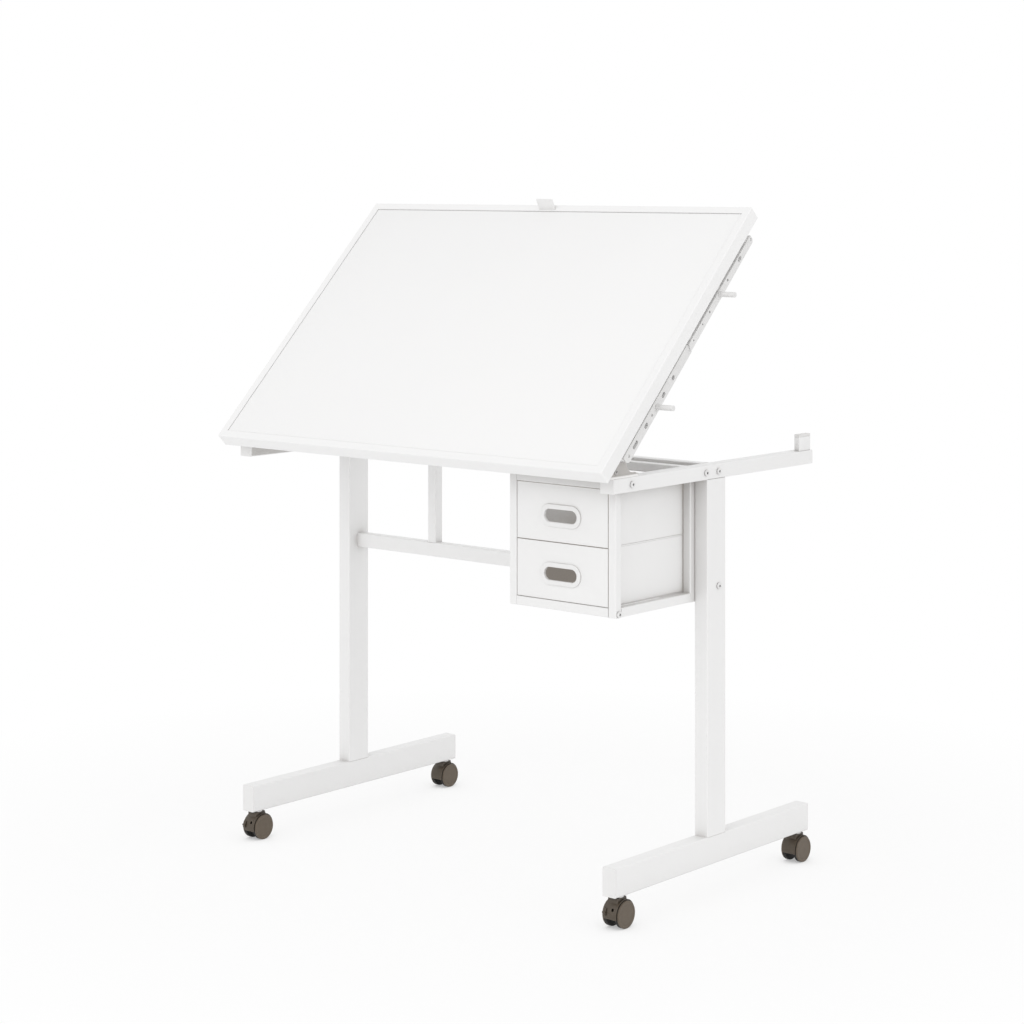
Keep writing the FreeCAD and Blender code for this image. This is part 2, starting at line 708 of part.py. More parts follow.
def make_hinge_bolts():
    """Bolts from outside through bracket and arm, with lock nuts inside."""
    nut_height = 6.0
    bolts, nuts = [], []
    for side in (RIGHT, LEFT):
        nut_inside = TAB_INSIDE - D.side_gap - nut_height
        shank_length = BRACKET_OUTSIDE - nut_inside + 1
        head_x = BRACKET_OUTSIDE if side == RIGHT else -BRACKET_OUTSIDE - D.bolt_head_height
        shank_x = BRACKET_OUTSIDE - shank_length if side == RIGHT else -BRACKET_OUTSIDE
        nut_x = nut_inside if side == RIGHT else -nut_inside - nut_height
        socket_x = head_x + D.bolt_head_height - D.socket_depth if side == RIGHT else head_x
        head = cylinder("head", "X", D.bolt_head_radius, D.bolt_head_height, head_x, PIVOT_Y, PIVOT_Z)
        shank = cylinder("shank", "X", D.bolt_radius, shank_length, shank_x, PIVOT_Y, PIVOT_Z)
        socket = prism("socket", "X", 6, D.socket_radius, D.socket_depth, socket_x, PIVOT_Y, PIVOT_Z)
        bolts.append(cut("bolt", fuse("blank", [head, shank]), [socket]))
        nut = prism("nut_blank", "X", 6, D.nut_radius, nut_height, nut_x, PIVOT_Y, PIVOT_Z)
        bore = cylinder("bore", "X", D.bolt_radius, nut_height + 2, nut_x - 1, PIVOT_Y, PIVOT_Z)
        nuts.append(cut("nut", nut, [bore]))
    group("hinge_bolts", bolts)
    group("hinge_nuts", nuts)


# ---------------------------------------------------------------- board
# On the board x runs as above, y along the board from its front edge and z up from its top face.

def place_on_board(part):
    """Turns a part from the board's own axes to its tilted place."""
    tilt = FreeCAD.Rotation(FreeCAD.Vector(1, 0, 0), D.board_tilt.value)
    place(part, 0, BOARD_Y, BOARD_Z, tilt)
    part.setExpression("Placement.Rotation.Angle", D.board_tilt.text)
    return part


PANEL_SCREW_RADIUS = 2.0
PANEL_SCREW_LENGTH = 12.0
PANEL_SCREW_HEAD = 4.0
PANEL_SCREW_X = [step * (D.board_width / 2 - 80) for step in (-1, -1 / 3, 1 / 3, 1)]


def make_panel():
    """White panel inside the board's frame, with blind holes for its screws."""
    panel = new_body("board_panel")
    gaps = 2 * D.rim_width + D.panel_gap + D.panel_play
    sketch = new_sketch(panel, "XY_Plane", -D.rim_step - D.panel_thickness)
    add_rectangle(sketch, D.rim_width + D.panel_play - D.board_width / 2, D.rim_width + D.panel_gap,
                  D.board_width - gaps, D.board_length - gaps)
    pad(panel, sketch, D.panel_thickness)
    holes = new_sketch(panel, "XY_Plane", -D.rim_step - D.panel_thickness)
    for x, y in panel_screw_places():
        add_circle(holes, x, y, PANEL_SCREW_RADIUS)
    pocket(panel, holes, PANEL_SCREW_LENGTH - D.ledge_thickness)
    finish_part(place_on_board(panel))


def panel_screw_places():
    """Middles of the screws that hold the panel to the ledges, four along each."""
    inset = D.rim_width + D.ledge_width / 2
    return [(x, y) for y in (inset, D.board_length - inset) for x in PANEL_SCREW_X]


def make_panel_screws():
    """Screws from below through the ledges into the panel."""
    screws = []
    ledge_bottom = -D.rim_step - D.panel_thickness - D.ledge_thickness
    for x, y in panel_screw_places():
        head = cylinder("head", "Z", PANEL_SCREW_HEAD, 2, x, y, ledge_bottom - 2)
        shank = cylinder("shank", "Z", PANEL_SCREW_RADIUS, PANEL_SCREW_LENGTH, x, y, ledge_bottom)
        screws.append(fuse("panel_screw", [head, shank]))
    screws = group("panel_screws", screws)
    place_on_board(screws)


def pad_rim(rim, role, near, start, length):
    """The tube of one member of the board's frame, from its near edge on the plane that its axis crosses."""
    sketch = new_sketch(rim, role, start)
    add_tube_section(sketch, size(near), RIM_BOTTOM, D.rim_width, D.rim_height, D.tube_wall)
    pad(rim, sketch, length)


def mitre_rim(rim, triangles):
    """Cuts the ends of a member to 45 degrees, by triangles seen from above."""
    sketch = new_sketch(rim, "XY_Plane", RIM_BOTTOM - 1)
    for triangle in triangles:
        add_outline(sketch, triangle)
    pocket(rim, sketch, D.rim_height + 2)


def round_corner(rim, side, end):
    """Rounds one corner of the board's frame, seen from above."""
    radius = D.rim_corner
    x, y = side * D.board_width / 2, 0 if end == FRONT else D.board_length
    inner_x, inner_y = x - side * radius, y - end * radius
    sketch = new_sketch(rim, "XY_Plane", RIM_BOTTOM - 1)
    add_outline(sketch, [
        (inner_x, y + end * 1),
        (x + side * 1, y + end * 1),
        (x + side * 1, inner_y),
        (x, inner_y),
        (inner_x, y, side * end * radius),
    ])
    pocket(rim, sketch, D.rim_height + 2)


def make_rim_side(side):
    """Side member of the board's frame, with mitred ends."""
    rim = new_body(f"board_rim_{SIDE_NAMES[side]}")
    outer = side * D.board_width / 2
    inner = outer - side * D.rim_width
    near = inner if side == RIGHT else outer
    pad_rim(rim, "XZ_Plane", near, -D.board_length, D.board_length)
    over = inner - side * 1
    rear = D.board_length + 1
    mitre_rim(rim, [
        [(over, -1), (outer + side * 1, -1), (over, D.rim_width + 1)],
        [(over, rear), (over, D.board_length - D.rim_width - 1), (outer + side * 1, rear)],
    ])
    for end in (FRONT, REAR):
        round_corner(rim, side, end)
    finish_part(place_on_board(rim))


def make_rim_end(end):
    """Front or rear member of the board's frame, with mitred ends and a ledge under the panel."""
    rim = new_body(f"board_rim_{END_NAMES[end]}")
    outer = 0 if end == FRONT else D.board_length
    inner = outer - end * D.rim_width
    half = D.board_width / 2
    pad_rim(rim, "YZ_Plane", outer if end == FRONT else inner, -half, D.board_width)
    over = inner - end * 1
    mitre_rim(rim, [
        [(-half - 1, over), (-half - 1, outer + end * 1), (D.rim_width + 1 - half, over)],
        [(half + 1, over), (half + 1, outer + end * 1), (half - D.rim_width - 1, over)],
    ])
    for side in (RIGHT, LEFT):
        round_corner(rim, side, end)
    add_ledge(rim, end, inner)
    finish_part(place_on_board(rim))


def add_ledge(rim, end, inner):
    """The ledge inside a front or rear member, with holes for the panel's screws."""
    bottom = -D.rim_step - D.panel_thickness - D.ledge_thickness
    length = D.board_width - 2 * D.rim_width
    near = inner if end == FRONT else inner - D.ledge_width
    ledge = new_sketch(rim, "YZ_Plane", -length / 2)
    add_rectangle(ledge, near, bottom, D.ledge_width, D.ledge_thickness)
    pad(rim, ledge, length)
    holes = new_sketch(rim, "XY_Plane", bottom - 1)
    for x in PANEL_SCREW_X:
        add_circle(holes, x, near + D.ledge_width / 2, PANEL_SCREW_RADIUS)
    pocket(rim, holes, D.ledge_thickness + 2)


ARM_HOLES = ((72.0, 3.0), (162.0, 2.4))
ARM_SLOTS = ((97.0, 18.0), (139.0, 12.0), (207.0, 12.0), (246.0, 10.0))
ARM_SLOT_HEIGHT = 7.0
ARM_BOSSES = (84.0, 192.0, 300.0)
ARM_HOLE_LINE = -43.2
FRONT_PEG_ALONG = 180.0
PEG_SPIGOT = 3.5
BOSS_RECESS = 4.0


def add_sided_plate(body, side, outline, outer_face, holes=(), slots=(), hole_line=0):
    """A plate across x, given by its outline in y and z and the distance of its outer face from the middle."""
    start = outer_face - D.arm_plate if side == RIGHT else -outer_face
    sketch = new_sketch(body, "YZ_Plane", start)
    add_outline(sketch, outline)
    for along, radius in holes:
        add_circle(sketch, along, hole_line, radius)
    for along, length in slots:
        add_slot(sketch, along, hole_line, length, ARM_SLOT_HEIGHT)
    pad(body, sketch, D.arm_plate)


def add_top_leg(body, side, start, end, outer_face):
    """The leg of an arm that lies under the board."""
    near = D.arm_inner_edge if side == RIGHT else -outer_face
    sketch = new_sketch(body, "XY_Plane", ARM_TOP - D.arm_plate)
    add_rectangle(sketch, near, start, outer_face - D.arm_inner_edge, end - start)
    pad(body, sketch, D.arm_plate)


def add_bosses(body, side, places, outer_face):
    """Bosses on top of an arm that carry the board's frame."""
    boss_end = outer_face - BOSS_RECESS
    near = BOSS_INSIDE if side == RIGHT else -boss_end
    sketch = new_sketch(body, "XY_Plane", ARM_TOP)
    for along in places:
        add_rectangle(sketch, near, along - D.boss_length / 2, boss_end - BOSS_INSIDE, D.boss_length)
    pad(body, sketch, D.arm_gap)


def add_inner_plate(body, side, start, end, depth, outer_face):
    """The plain plate that closes an arm behind its holed one."""
    outline = [(start, ARM_TOP - 1), (start, -depth), (end, -depth), (end, ARM_TOP - 1)]
    add_sided_plate(body, side, outline, outer_face - D.arm_plate - D.flange_gap)


def make_hinge_arm(side):
    """Hinge arm under the side edge: a channel outside the bracket that steps inwards to a tab behind it."""
    arm = new_body(f"hinge_arm_{SIDE_NAMES[side]}")
    crank, drop = D.crank_along, -D.crank_depth
    bend = D.arm_depth - D.crank_depth
    flange = [
        (D.arm_start, ARM_TOP),
        (D.arm_start, drop),
        (D.arm_start + bend, -D.arm_depth, bend),
        (D.arm_end, -D.arm_depth),
        (D.arm_end, ARM_TOP),
    ]
    holes = ARM_HOLES + ((FRONT_PEG_ALONG, PEG_SPIGOT),)
    add_sided_plate(arm, side, flange, D.arm_outer, holes, ARM_SLOTS, ARM_HOLE_LINE)
    add_top_leg(arm, side, crank, D.arm_end, ARM_INSIDE)
    add_inner_plate(arm, side, crank + D.arm_plate + 5, D.arm_end, D.arm_depth, D.arm_outer)
    add_bosses(arm, side, ARM_BOSSES, D.arm_outer)
    # step
    step = new_sketch(arm, "XY_Plane", drop)
    near = TAB_INSIDE if side == RIGHT else -D.arm_outer
    add_rectangle(step, near, crank, D.arm_outer - TAB_INSIDE, D.arm_plate)
    pad(arm, step, D.crank_depth + ARM_TOP)
    # tab with the eye for the hinge bolt
    eye = 9.0
    tab = [
        (D.pivot_along - eye, ARM_TOP),
        (D.pivot_along - eye, -D.pivot_drop),
        (D.pivot_along, -D.pivot_drop - eye, eye),
        (D.pivot_along + eye, -D.pivot_drop, eye),
        (crank + D.arm_plate, drop),
        (crank + D.arm_plate, ARM_TOP),
    ]
    hinge_hole = ((D.pivot_along, D.bolt_radius + D.running_gap),)
    add_sided_plate(arm, side, tab, TAB_INSIDE + D.arm_plate, hinge_hole, (), -D.pivot_drop)
    add_top_leg(arm, side, D.pivot_along - eye, crank + 1, TAB_INSIDE)
    finish_part(place_on_board(arm))


RAIL_HOLES = ((328.0, 1.8), (365.0, 1.8), (394.0, 2.6), (469.5, 2.6), (568.0, 3.0))
RAIL_SLOTS = ((520.5, 13.0),)
RAIL_HOLE_LINE = -39.2
RAIL_BOSSES = (328.0, 444.0, 560.0)
REAR_PEG_ALONG = 436.0


def make_slotted_rail(side):
    """Slotted rail behind the hinge arm, a channel one plate further out, with a slanted front end."""
    rail = new_body(f"slotted_rail_{SIDE_NAMES[side]}")
    slant, corner = 6.0, 4.0
    flange = [
        (D.slot_rail_start, ARM_TOP),
        (D.slot_rail_start - slant, -D.slot_rail_depth),
        (D.slot_rail_end - corner, -D.slot_rail_depth),
        (D.slot_rail_end, corner - D.slot_rail_depth),
        (D.slot_rail_end, ARM_TOP),
    ]
    outer_face = D.arm_outer + D.arm_plate
    holes = RAIL_HOLES + ((REAR_PEG_ALONG, PEG_SPIGOT),)
    add_sided_plate(rail, side, flange, outer_face, holes, RAIL_SLOTS, RAIL_HOLE_LINE)
    add_top_leg(rail, side, D.slot_rail_start, D.slot_rail_end, D.arm_outer)
    add_inner_plate(rail, side, D.slot_rail_start, D.slot_rail_end - corner, D.slot_rail_depth, outer_face)
    add_bosses(rail, side, RAIL_BOSSES, outer_face)
    finish_part(place_on_board(rail))


def make_pegs():
    """Round pegs that stand out of the arms and the slotted rails."""
    pegs = []
    seats = ((FRONT_PEG_ALONG, ARM_HOLE_LINE, D.arm_outer),
             (REAR_PEG_ALONG, RAIL_HOLE_LINE, D.arm_outer + D.arm_plate))
    for side in (RIGHT, LEFT):
        for along, line, face in seats:
            length = D.peg_tip - face
            peg_x = face if side == RIGHT else -D.peg_tip
            spigot_x = face - D.arm_plate if side == RIGHT else -face
            peg = cylinder("peg", "X", D.peg_radius, length, peg_x, along, line)
            spigot = cylinder("spigot", "X", PEG_SPIGOT, D.arm_plate, spigot_x, along, line)
            pegs.append(fuse("side_peg", [peg, spigot]))
    place_on_board(group("side_pegs", pegs))


def make_clip():
    """Clip on the rear of the board's frame: a foot on the frame's face and a plate that leans back."""
    clip = new_body("top_clip")
    plate = D.clip_plate
    foot_front = D.board_length - D.clip_setback
    foot_back = foot_front + D.clip_foot
    sketch = new_sketch(clip, "YZ_Plane", D.clip_middle - D.clip_width / 2)
    add_outline(sketch, [
        (foot_front, 0),
        (foot_back, 0),
        (foot_back, plate),
        (foot_front + plate * 1.5, plate),
        (foot_front + plate + D.clip_lean, D.clip_rise),
        (foot_front + D.clip_lean, D.clip_rise),
    ])
    pad(clip, sketch, D.clip_width)
    finish_part(place_on_board(clip))


# ---------------------------------------------------------------- cabinet

def cabinet_tube_at(label, axis, length, x, y, z):
    """A piece of the cabinet's square tube."""
    return tube(label, axis, (D.cabinet_tube, D.cabinet_tube), length, D.cabinet_wall, x, y, z)


def make_cabinet():
    """Open cabinet under the right side rail: four uprights, four bars across, four along."""
    half = D.cabinet_tube / 2
    height = D.cabinet_top - D.cabinet_bottom
    rail_hole = RAIL_MIDDLE - D.cabinet_bottom
    holes = {FRONT: [rail_hole, D.corner_screw_rise], REAR: [rail_hole]}
    uprights = []
    for end, y in ((FRONT, UPRIGHT_FRONT_Y), (REAR, UPRIGHT_REAR_Y)):
        left = cabinet_tube_at("left_upright", "Z", height, CABINET_LEFT + half, y, D.cabinet_bottom)
        right = cabinet_tube_at("right_upright", "Z", height, INNER - half, y, D.cabinet_bottom)
        for upright in (left, right):
            close_upright(upright, height)
        uprights.append(left)
        drill_tube(right, "YZ_Plane", [(0, z) for z in holes[end]], half - D.cabinet_wall - 1,
                   D.cabinet_wall + 2, D.screw_radius)
        uprights.append(right)
    group("cabinet_uprights", uprights)

    low, high = D.cabinet_bottom + half, D.cabinet_top - half
    across = BAY_RIGHT - BAY_LEFT
    bars = [
        cabinet_tube_at("bar", "X", across, BAY_LEFT, y, z)
        for y, z in ((UPRIGHT_FRONT_Y, low), (UPRIGHT_FRONT_Y, high - D.front_bar_drop),
                     (UPRIGHT_REAR_Y, low), (UPRIGHT_REAR_Y, high))
    ]
    group("cabinet_cross_bars", bars)

    start = D.cabinet_front + D.cabinet_tube
    along = D.cabinet_depth - 2 * D.cabinet_tube
    bars = [
        cabinet_tube_at("bar", "Y", along, x, start, z)
        for x in (CABINET_LEFT + half, INNER - half) for z in (low, high)
    ]
    group("cabinet_side_bars", bars)


def close_upright(upright, height):
    """Plates welded into the two ends of an upright."""
    width = D.cabinet_tube - D.cabinet_wall
    for level in (0, height - D.cabinet_wall):
        sketch = new_sketch(upright, "XY_Plane", level)
        add_rectangle(sketch, -width / 2, -width / 2, width, width)
        pad(upright, sketch, D.cabinet_wall)


def make_runners():
    """Flat strips inside the uprights on which the drawers slide; their front ends stop the drawer fronts."""
    start = FRONT_Y + D.front_thickness + D.drawer_gap
    strips = []
    length = CABINET_BACK - start
    for level in range(2):
        z = BAY_BOTTOM + level * D.drawer_pitch
        for x in (BAY_LEFT, BAY_RIGHT - D.runner_width):
            strips.append(box("runner", D.runner_width, length, D.runner_thickness, x, start, z))
    group("drawer_runners", strips)


# ---------------------------------------------------------------- drawers

SLIDING_GAP = 0.3


def make_drawer(name, level):
    """Drawer on its runners: front with a finger hole, grip ring, walls and bottom."""
    bottom = BAY_BOTTOM + level * D.drawer_pitch
    make_drawer_front(name, bottom + D.drawer_gap)
    make_drawer_box(name, bottom + D.runner_thickness + SLIDING_GAP)


def grip_middle(front_bottom):
    """Middle of the finger hole: x and z."""
    return (BAY_LEFT + BAY_RIGHT) / 2 - D.grip_aside, front_bottom + D.front_height / 2 - D.grip_drop


def make_drawer_front(name, front_bottom):
    """Drawer front and the ring in its finger hole."""
    front = new_body(f"{name}_front")
    middle_x, middle_z = grip_middle(front_bottom)
    # the XZ plane looks along -y
    sketch = new_sketch(front, "XZ_Plane", -FRONT_Y - D.front_thickness)
    width = BAY_RIGHT - BAY_LEFT - 2 * D.drawer_gap
    add_rectangle(sketch, BAY_LEFT + D.drawer_gap, front_bottom, width, D.front_height)
    add_slot(sketch, middle_x, middle_z, D.grip_width + 2 * D.grip_wall, D.grip_height + 2 * D.grip_wall)
    pad(front, sketch, D.front_thickness)
    finish_part(front)

    ring = new_body(f"{name}_grip")
    sketch = new_sketch(ring, "XZ_Plane", -FRONT_Y - D.front_thickness)
    add_slot(sketch, middle_x, middle_z, D.grip_width + 2 * D.grip_wall, D.grip_height + 2 * D.grip_wall)
    add_slot(sketch, middle_x, middle_z, D.grip_width, D.grip_height)
    pad(ring, sketch, D.front_thickness)
    lip = new_sketch(ring, "XZ_Plane", -FRONT_Y)
    add_slot(lip, middle_x, middle_z, D.grip_width + 2 * D.grip_lip, D.grip_height + 2 * D.grip_lip)
    add_slot(lip, middle_x, middle_z, D.grip_width, D.grip_height)
    pad(ring, lip, D.grip_lip_thickness)
    finish_part(ring)


def make_drawer_box(name, bottom):
    """Drawer bottom with two sides and a back standing on it."""
    left = BAY_LEFT + D.box_inset
    start = FRONT_Y + D.front_thickness
    width = BAY_RIGHT - BAY_LEFT - 2 * D.box_inset
    depth = CABINET_BACK - D.box_back_gap - start
    wall = D.wall_thickness
    floor = new_body(f"{name}_bottom")
    sketch = new_sketch(floor, "XY_Plane", bottom)
    add_rectangle(sketch, left, start, width, depth)
    pad(floor, sketch, D.floor_thickness)
    finish_part(floor)

    base = bottom + D.floor_thickness
    sides = [box("side", wall, depth, D.wall_height, x, start, base) for x in (left, left + width - wall)]
    back = box("back", width - 2 * wall, wall, D.wall_height, left + wall, start + depth - wall, base)
    group(f"{name}_walls", sides + [back])


# ---------------------------------------------------------------- casters

def caster_places():
    """Name, x and y of the stem and whether it has a brake, for the four casters."""
    for end in (FRONT, REAR):
        for side in (RIGHT, LEFT):
            name = f"{END_NAMES[end]}_{SIDE_NAMES[side]}"
            yield name, side * LEG_MIDDLE, D.post_setback + end * D.caster_spacing / 2, end == FRONT


SPIGOT_LENGTH = 9.0
NECK_GAP = 0.3


def make_stems():
    """Caster stems: spigot in the hood, collar under the foot, pin in the foot."""
    stems = []
    for _, x, y, _ in caster_places():
        collar_z = D.foot_clearance - D.collar_height
        pin = cylinder("pin", "Z", D.stem_radius, D.stem_length, x, y, D.foot_clearance)
        collar = cylinder("collar", "Z", D.collar_radius, D.collar_height, x, y, collar_z)
        spigot = cylinder("spigot", "Z", D.spigot_radius, SPIGOT_LENGTH, x, y, collar_z - SPIGOT_LENGTH)
        stems.append(fuse("stem", [pin, collar, spigot]))
    group("caster_stems", stems)


def make_hood(name, x, y, has_brake):
    """Hood of a caster: a curved cover over both treads, a web between the wheels and a neck for the stem."""
    axle_y = y + D.caster_trail
    axle_z = D.wheel_radius
    inside = D.wheel_radius + D.hood_gap
    outside = inside + D.hood_wall
    half = D.caster_half_width - D.wheel_cap - NECK_GAP
    reach = outside + 1
    front_edge, rear_edge = 5.5, 8
    front_hole_radius, front_hole_aside, front_hole_rise = 2.6, 5, 10.5
    drum = cylinder("drum", "X", outside, 2 * half, x - half, axle_y, axle_z)
    hollow = cylinder("hollow", "X", inside, 2 * half + 2, x - half - 1, axle_y, axle_z)
    below = box("below", 2 * half + 2, 2 * reach, reach, x - half - 1, axle_y - reach, axle_z - front_edge - reach)
    behind = box("behind", 2 * half + 2, reach, reach, x - half - 1, axle_y, axle_z + rear_edge - reach)
    cover = cut("cover", drum, [hollow, below, behind])

    web_half = D.wheel_inner_face - NECK_GAP
    boss_radius = 11
    boss = cylinder("boss", "X", boss_radius, 2 * web_half, x - web_half, axle_y, axle_z)
    web = box("web", 2 * web_half, 2 * boss_radius, inside + 1, x - web_half, axle_y - boss_radius, axle_z)

    neck_bottom = axle_z + inside / 2
    neck_top = D.foot_clearance - D.collar_height - NECK_GAP
    neck = box("neck", D.neck_width, D.neck_depth, neck_top - neck_bottom, x - D.neck_width / 2,
               y - D.neck_depth / 2, neck_bottom)
    treads = cylinder("treads", "X", inside, 2 * half + 2, x - half - 1, axle_y, axle_z)
    trimmed_neck = cut("trimmed_neck", neck, [treads])

    socket_bottom = D.foot_clearance - D.collar_height - SPIGOT_LENGTH - 0.5
    socket = cylinder("socket", "Z", D.spigot_radius + D.running_gap, SPIGOT_LENGTH + 1, x, y, socket_bottom)
    bore = cylinder("bore", "X", D.axle_radius, 2 * web_half + 2, x - web_half - 1, axle_y, axle_z)
    tools = [socket, bore]
    if has_brake:
        tools.append(cylinder("front_hole", "Y", front_hole_radius, D.neck_depth / 2, x + front_hole_aside,
                              axle_y - reach, axle_z + front_hole_rise))
    hood = cut(f"caster_hood_{name}", fuse("hood_blank", [cover, boss, web, trimmed_neck]), tools)
    finish_part(hood, f"caster_hood_{name}")


def make_axle(name, x, y):
    """Axle of a caster, pressed into the web of its hood."""
    length = 2 * (D.caster_half_width - D.wheel_cap)
    finish_part(cylinder(f"caster_axle_{name}", "X", D.axle_radius, length, x - length / 2, y + D.caster_trail,
                         D.wheel_radius), f"caster_axle_{name}")


def make_wheel(name, x, y, side):
    """One wheel of a caster: a tread beside the web, a disc outside and a blind bore for the axle."""
    wheel = new_body(f"caster_wheel_{name}_{SIDE_NAMES[side]}")
    bore = D.axle_radius + D.running_gap
    inner = D.wheel_inner_face
    outer = D.caster_half_width
    bore_end = outer - D.wheel_cap + 0.3
    soft = 1.5
    groove = 0.5
    border, recess = 4.0, 0.6
    tread_end = outer - D.wheel_cap
    sketch = new_sketch(wheel, "XZ_Plane")
    add_outline(sketch, [
        (bore, inner),
        (D.wheel_radius - soft, inner),
        (D.wheel_radius, inner + soft, soft),
        (D.wheel_radius, tread_end - groove),
        (D.wheel_radius - groove, tread_end),
        (D.wheel_radius, tread_end + groove),
        (D.wheel_radius, outer - soft),
        (D.wheel_radius - soft, outer, soft),
        (D.wheel_radius - border, outer),
        (D.wheel_radius - border - recess, outer - recess),
        (0, outer - recess),
        (0, bore_end),
        (bore, bore_end),
    ])
    revolve(wheel, sketch)
    turn = AXIS_TURNS["X"]
    if side == LEFT:
        turn = FreeCAD.Rotation(FreeCAD.Vector(0, 0, 1), 180).multiply(turn)
    finish_part(place(wheel, x, y + D.caster_trail, D.wheel_radius, turn))


def make_brake(name, x, y):
    """Brake slider on the left of a front hood: a shoe that hugs the cover, with a tab to push."""
    axle_y = y + D.caster_trail
    axle_z = D.wheel_radius
    inside = D.wheel_radius + D.hood_gap + D.hood_wall + NECK_GAP
    outside = inside + 1.5
    width = 6.0
    left = x - D.caster_half_width + D.wheel_cap + 1
    ring = cylinder("ring", "X", outside, width, left, axle_y, axle_z)
    hollow = cylinder("hollow", "X", inside, width + 2, left - 1, axle_y, axle_z)
    shoe = cut("shoe", common("sector", [ring, box("window", width, outside, 12, left, axle_y - outside, axle_z)]),
               [hollow])
    tab_out, tab_height = 1.4, 3.0
    tab = box("tab", width, tab_out + 2, tab_height, left, axle_y - outside - tab_out, axle_z + 4)
    finish_part(fuse(f"caster_brake_{name}", [shoe, tab]), f"caster_brake_{name}")


def make_casters():
    """Four casters with two wheels each; the front two have brakes."""
    make_stems()
    for name, x, y, has_brake in caster_places():
        make_hood(name, x, y, has_brake)
        make_axle(name, x, y)
        for side in (RIGHT, LEFT):
            make_wheel(name, x, y, side)
        if has_brake:
            make_brake(name, x, y)


# ---------------------------------------------------------------- the table

def make_table():
    for side in (RIGHT, LEFT):
        make_foot(side)
        make_post(side)
        make_side_rail(side)
    make_caps()
    make_crossbars()
    make_bar_inserts()
    make_frame_screws()
    make_rests()
    make_hinge_brackets()
    make_hinge_bolts()
    make_cabinet()
    make_runners()
    make_panel()
    make_panel_screws()
    for side in (RIGHT, LEFT):
        make_rim_side(side)
        make_hinge_arm(side)
        make_slotted_rail(side)
    for end in (FRONT, REAR):
        make_rim_end(end)
    make_pegs()
    make_clip()
    make_drawer("drawer_lower", 0)
    make_drawer("drawer_upper", 1)
    make_casters()


def check_document():
    """Every object recomputed without an error, every sub-part a valid shape of solids."""
    for thing in DOC.Objects:
        if {"Invalid", "Error"} & set(thing.State):
            users = [user.Label for user in thing.InList]
            raise RuntimeError(f"{thing.Name} of {users} failed: {thing.State}")
    for part in SUB_PARTS:
        if part.Shape.isNull() or not part.Shape.isValid() or not part.Shape.Solids:
            raise RuntimeError(f"{part.Label} has no valid shape")


def write_parts():
    """One STEP file for each sub-part, named by its label."""
    os.makedirs("parts", exist_ok=True)
    for part in SUB_PARTS:
        part.Shape.exportStep(f"parts/{part.Label}.step")
        print(f"{part.Label:36s} {len(part.Shape.Solids):3d} solids {part.Shape.Volume / 1000:10.2f} cm3")
    print(len(SUB_PARTS), "sub-parts")


make_table()
DOC.recompute()
check_document()
write_parts()
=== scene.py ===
import json
import math

import bmesh
import bpy
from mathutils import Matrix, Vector

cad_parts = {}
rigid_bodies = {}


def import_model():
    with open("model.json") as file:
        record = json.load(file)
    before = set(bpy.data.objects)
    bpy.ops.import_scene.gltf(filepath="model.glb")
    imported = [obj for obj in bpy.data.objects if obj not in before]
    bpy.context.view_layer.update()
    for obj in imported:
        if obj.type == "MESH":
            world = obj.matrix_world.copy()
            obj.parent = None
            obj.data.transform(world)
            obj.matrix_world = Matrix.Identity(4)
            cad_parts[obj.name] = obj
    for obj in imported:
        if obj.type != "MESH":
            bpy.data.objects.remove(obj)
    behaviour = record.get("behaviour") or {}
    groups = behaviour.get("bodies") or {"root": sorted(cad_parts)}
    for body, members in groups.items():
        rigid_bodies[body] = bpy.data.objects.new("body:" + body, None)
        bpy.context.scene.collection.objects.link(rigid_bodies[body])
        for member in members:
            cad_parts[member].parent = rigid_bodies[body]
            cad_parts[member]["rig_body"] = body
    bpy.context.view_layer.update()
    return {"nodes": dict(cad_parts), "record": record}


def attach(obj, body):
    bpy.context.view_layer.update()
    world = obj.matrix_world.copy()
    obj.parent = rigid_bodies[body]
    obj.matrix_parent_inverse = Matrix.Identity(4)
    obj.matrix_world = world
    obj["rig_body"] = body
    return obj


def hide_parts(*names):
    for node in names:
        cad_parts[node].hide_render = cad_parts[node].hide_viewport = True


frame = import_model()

NODES = frame["nodes"]
SLOTS = {part["node"]: part["material_slot"] for part in frame["record"]["subparts"]}

BLACK = (0.0, 0.0, 0.0, 1.0)
WHITE = (1.0, 1.0, 1.0, 1.0)


# ---------------------------------------------------------------- shader maths

class Value:
    """A shader socket that can be calculated with."""

    def __init__(self, paint, socket):
        self.paint = paint
        self.socket = socket

    def _math(self, operation, first, second):
        node = self.paint.node("ShaderNodeMath", {"operation": operation}, {0: first, 1: second})
        return node.value("Value")

    def __add__(self, other):
        return self._math("ADD", self, other)

    def __radd__(self, other):
        return self._math("ADD", other, self)

    def __sub__(self, other):
        return self._math("SUBTRACT", self, other)

    def __rsub__(self, other):
        return self._math("SUBTRACT", other, self)

    def __mul__(self, other):
        return self._math("MULTIPLY", self, other)

    def __rmul__(self, other):
        return self._math("MULTIPLY", other, self)

    def or_more(self, other):
        """The larger of the two."""
        return self._math("MAXIMUM", self, other)


class Made:
    """A node that has been added, with its outputs by name or number."""

    def __init__(self, paint, node):
        self.paint = paint
        self.bpy_node = node

    def value(self, name):
        return Value(self.paint, self.bpy_node.outputs[name])


